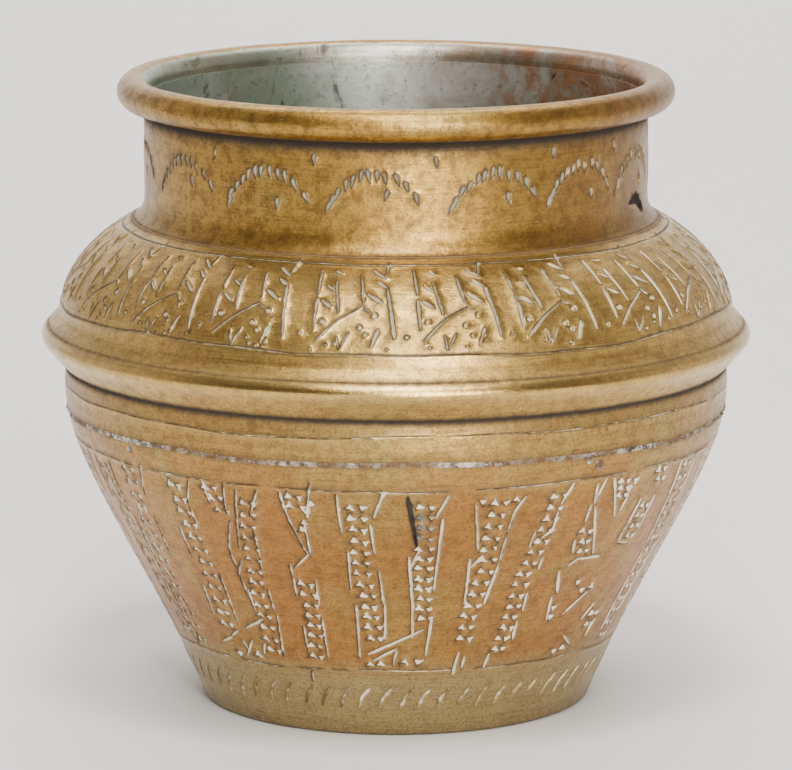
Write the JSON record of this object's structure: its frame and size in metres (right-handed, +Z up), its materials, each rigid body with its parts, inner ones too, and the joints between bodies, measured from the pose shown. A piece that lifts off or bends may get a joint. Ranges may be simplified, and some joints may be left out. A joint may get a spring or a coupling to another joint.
{
  "type": "lota water pot",
  "caption": "Brass water pot with a conical belly, sharp shoulder ridge, wide neck and wired rolled lip, chased and punched all round.",
  "frame": {"origin": "centre of the standing face, at the pot's lowest plane", "axes": "+Z up through the mouth; the pot is round about Z, and the chased work that faces a viewer lies toward -Y"},
  "size_m": [0.16, 0.16, 0.142],
  "materials": {
    "neck_brass": "aged, hand polished",
    "shoulder_brass": "aged, hand polished",
    "belly_brass": "aged, copper-toned patches",
    "spelter": "dull, as brazed",
    "soft_solder": "dull, granular",
    "iron_wire": "dark, drawn wire",
    "tin": "wiped tin, stained"
  },
  "bodies": {
    "root": {"neck_collar": "neck_brass", "rim_wire": "iron_wire", "neck_braze": "spelter", "shoulder_dome": "shoulder_brass", "ridge_braze": "spelter", "belly_belt": "belly_brass", "seam_solder": "soft_solder", "lower_bowl": "belly_brass", "base_disc": "belly_brass", "base_braze": "spelter", "tin_lining": "tin"}
  },
  "joints": []
}
